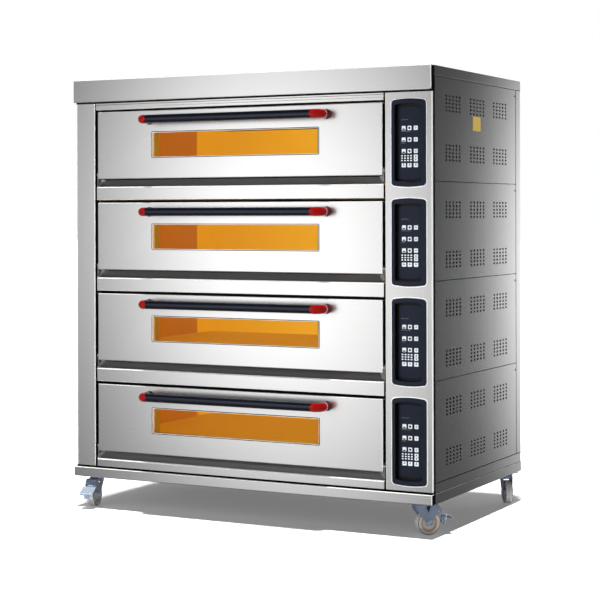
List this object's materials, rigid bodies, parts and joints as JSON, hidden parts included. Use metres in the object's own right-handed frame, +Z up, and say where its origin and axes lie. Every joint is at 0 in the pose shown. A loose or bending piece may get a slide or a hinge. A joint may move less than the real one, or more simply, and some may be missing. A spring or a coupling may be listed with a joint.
{
  "type": "bakery deck oven",
  "caption": "Stacked-deck bakery oven: drop-down doors with sight windows and bar handles, a control column at one side, and a folded sheet carcass on swivel casters.",
  "frame": {"origin": "floor point under the centre of the bounding box, which takes in the handles in front and the right front brake pedal at the side", "axes": "+X from the left side towards the control column, +Y from the doors towards the rear cover, +Z up"},
  "size_m": [1.7236, 1.0815, 1.865],
  "materials": {
    "base_frame": "brushed stainless sheet",
    "top_cover": "brushed stainless sheet",
    "left_stile": "brushed stainless sheet",
    "control_column": "brushed stainless sheet",
    "rear_cover": "brushed stainless sheet",
    "left_side_panel": "brushed stainless sheet",
    "right_side_panel_1": "brushed stainless sheet",
    "right_side_panel_2": "brushed stainless sheet",
    "right_side_panel_3": "brushed stainless sheet",
    "right_side_panel_4": "brushed stainless sheet",
    "deck_rail_1": "brushed stainless sheet",
    "chamber_1": "heat-tinted chamber steel",
    "hearth_1": "dark baked hearth plate",
    "heater_1": "dark oxidised element sheath",
    "control_bezel_1": "dark navy moulding",
    "keypad_1": "dark membrane keypad",
    "door_1": "fine-brushed stainless sheet",
    "door_glass_1": "tempered glass, amber from the lit chamber",
    "handle_tube_1": "satin black grip",
    "handle_bracket_1": "glossy red moulding",
    "deck_rail_2": "brushed stainless sheet",
    "chamber_2": "heat-tinted chamber steel",
    "hearth_2": "dark baked hearth plate",
    "heater_2": "dark oxidised element sheath",
    "control_bezel_2": "dark navy moulding",
    "keypad_2": "dark membrane keypad",
    "door_2": "fine-brushed stainless sheet",
    "door_glass_2": "tempered glass, amber from the lit chamber",
    "handle_tube_2": "satin black grip",
    "handle_bracket_2": "glossy red moulding",
    "deck_rail_3": "brushed stainless sheet",
    "chamber_3": "heat-tinted chamber steel",
    "hearth_3": "dark baked hearth plate",
    "heater_3": "dark oxidised element sheath",
    "control_bezel_3": "dark navy moulding",
    "keypad_3": "dark membrane keypad",
    "door_3": "fine-brushed stainless sheet",
    "door_glass_3": "tempered glass, amber from the lit chamber",
    "handle_tube_3": "satin black grip",
    "handle_bracket_3": "glossy red moulding",
    "deck_rail_4": "brushed stainless sheet",
    "chamber_4": "heat-tinted chamber steel",
    "hearth_4": "dark baked hearth plate",
    "heater_4": "dark oxidised element sheath",
    "control_bezel_4": "dark navy moulding",
    "keypad_4": "dark membrane keypad",
    "door_4": "fine-brushed stainless sheet",
    "door_glass_4": "tempered glass, amber from the lit chamber",
    "handle_tube_4": "satin black grip",
    "handle_bracket_4": "glossy red moulding",
    "caster_fork_front_left": "zinc plate",
    "caster_wheel_front_left": "pale grey caster tread on an orange hub",
    "brake_pedal_front_left": "zinc plate",
    "caster_fork_front_right": "zinc plate",
    "caster_wheel_front_right": "pale grey caster tread on an orange hub",
    "brake_pedal_front_right": "zinc plate",
    "caster_fork_rear_left": "zinc plate",
    "caster_wheel_rear_left": "pale grey caster tread on an orange hub",
    "caster_fork_rear_right": "zinc plate",
    "caster_wheel_rear_right": "pale grey caster tread on an orange hub"
  },
  "bodies": {
    "carcass": {"base_frame": "base_frame", "top_cover": "top_cover", "left_stile": "left_stile", "control_column": "control_column", "rear_cover": "rear_cover", "left_side_panel": "left_side_panel", "right_side_panel_1": "right_side_panel_1", "right_side_panel_2": "right_side_panel_2", "right_side_panel_3": "right_side_panel_3", "right_side_panel_4": "right_side_panel_4", "deck_rail_1": "deck_rail_1", "chamber_1": "chamber_1", "hearth_1": "hearth_1", "heater_1": "heater_1", "control_bezel_1": "control_bezel_1", "keypad_1": "keypad_1", "deck_rail_2": "deck_rail_2", "chamber_2": "chamber_2", "hearth_2": "hearth_2", "heater_2": "heater_2", "control_bezel_2": "control_bezel_2", "keypad_2": "keypad_2", "deck_rail_3": "deck_rail_3", "chamber_3": "chamber_3", "hearth_3": "hearth_3", "heater_3": "heater_3", "control_bezel_3": "control_bezel_3", "keypad_3": "keypad_3", "deck_rail_4": "deck_rail_4", "chamber_4": "chamber_4", "hearth_4": "hearth_4", "heater_4": "heater_4", "control_bezel_4": "control_bezel_4", "keypad_4": "keypad_4"},
    "door_1": {"door_1": "door_1", "door_glass_1": "door_glass_1", "handle_tube_1": "handle_tube_1", "handle_bracket_1": "handle_bracket_1"},
    "door_2": {"door_2": "door_2", "door_glass_2": "door_glass_2", "handle_tube_2": "handle_tube_2", "handle_bracket_2": "handle_bracket_2"},
    "door_3": {"door_3": "door_3", "door_glass_3": "door_glass_3", "handle_tube_3": "handle_tube_3", "handle_bracket_3": "handle_bracket_3"},
    "door_4": {"door_4": "door_4", "door_glass_4": "door_glass_4", "handle_tube_4": "handle_tube_4", "handle_bracket_4": "handle_bracket_4"},
    "caster_fork_front_left": {"caster_fork_front_left": "caster_fork_front_left"},
    "caster_wheel_front_left": {"caster_wheel_front_left": "caster_wheel_front_left"},
    "brake_pedal_front_left": {"brake_pedal_front_left": "brake_pedal_front_left"},
    "caster_fork_front_right": {"caster_fork_front_right": "caster_fork_front_right"},
    "caster_wheel_front_right": {"caster_wheel_front_right": "caster_wheel_front_right"},
    "brake_pedal_front_right": {"brake_pedal_front_right": "brake_pedal_front_right"},
    "caster_fork_rear_left": {"caster_fork_rear_left": "caster_fork_rear_left"},
    "caster_wheel_rear_left": {"caster_wheel_rear_left": "caster_wheel_rear_left"},
    "caster_fork_rear_right": {"caster_fork_rear_right": "caster_fork_rear_right"},
    "caster_wheel_rear_right": {"caster_wheel_rear_right": "caster_wheel_rear_right"}
  },
  "joints": [
    {"name": "door_hinge_1", "type": "hinge", "parent": "carcass", "child": "door_1", "pos_m": [0, -0.43825, 1.4525], "axis": [1, 0, 0], "range_deg": [0, 85]},
    {"name": "door_hinge_2", "type": "hinge", "parent": "carcass", "child": "door_2", "pos_m": [0, -0.43825, 1.058], "axis": [1, 0, 0], "range_deg": [0, 85]},
    {"name": "door_hinge_3", "type": "hinge", "parent": "carcass", "child": "door_3", "pos_m": [0, -0.43825, 0.6635], "axis": [1, 0, 0], "range_deg": [0, 85]},
    {"name": "door_hinge_4", "type": "hinge", "parent": "carcass", "child": "door_4", "pos_m": [0, -0.43825, 0.269], "axis": [1, 0, 0], "range_deg": [0, 85]},
    {"name": "caster_swivel_front_left", "type": "hinge", "parent": "carcass", "child": "caster_fork_front_left", "pos_m": [-0.79784, -0.39025, 0.13], "axis": [0, 0, 1], "continuous": true},
    {"name": "caster_roll_front_left", "type": "hinge", "parent": "caster_fork_front_left", "child": "caster_wheel_front_left", "pos_m": [-0.79201, -0.41764, 0.05], "axis": [0.9781, 0.2079, 0], "continuous": true},
    {"name": "brake_press_front_left", "type": "hinge", "parent": "caster_fork_front_left", "child": "brake_pedal_front_left", "pos_m": [-0.78349, -0.45774, 0.094], "axis": [0.9781, 0.2079, 0], "range_deg": [0, 12]},
    {"name": "caster_swivel_front_right", "type": "hinge", "parent": "carcass", "child": "caster_fork_front_right", "pos_m": [0.75616, -0.39025, 0.13], "axis": [0, 0, 1], "continuous": true},
    {"name": "caster_roll_front_right", "type": "hinge", "parent": "caster_fork_front_right", "child": "caster_wheel_front_right", "pos_m": [0.77416, -0.3688, 0.05], "axis": [-0.766, 0.6428, 0], "continuous": true},
    {"name": "brake_press_front_right", "type": "hinge", "parent": "caster_fork_front_right", "child": "brake_pedal_front_right", "pos_m": [0.80052, -0.33739, 0.094], "axis": [-0.766, 0.6428, 0], "range_deg": [0, 12]},
    {"name": "caster_swivel_rear_left", "type": "hinge", "parent": "carcass", "child": "caster_fork_rear_left", "pos_m": [-0.80784, 0.48675, 0.13], "axis": [0, 0, 1], "continuous": true},
    {"name": "caster_roll_rear_left", "type": "hinge", "parent": "caster_fork_rear_left", "child": "caster_wheel_rear_left", "pos_m": [-0.81508, 0.4597, 0.05], "axis": [0.9659, -0.2588, 0], "continuous": true},
    {"name": "caster_swivel_rear_right", "type": "hinge", "parent": "carcass", "child": "caster_fork_rear_right", "pos_m": [0.78416, 0.48675, 0.13], "axis": [0, 0, 1], "continuous": true},
    {"name": "caster_roll_rear_right", "type": "hinge", "parent": "caster_fork_rear_right", "child": "caster_wheel_rear_right", "pos_m": [0.79941, 0.46327, 0.05], "axis": [0.8387, 0.5446, 0], "continuous": true}
  ]
}
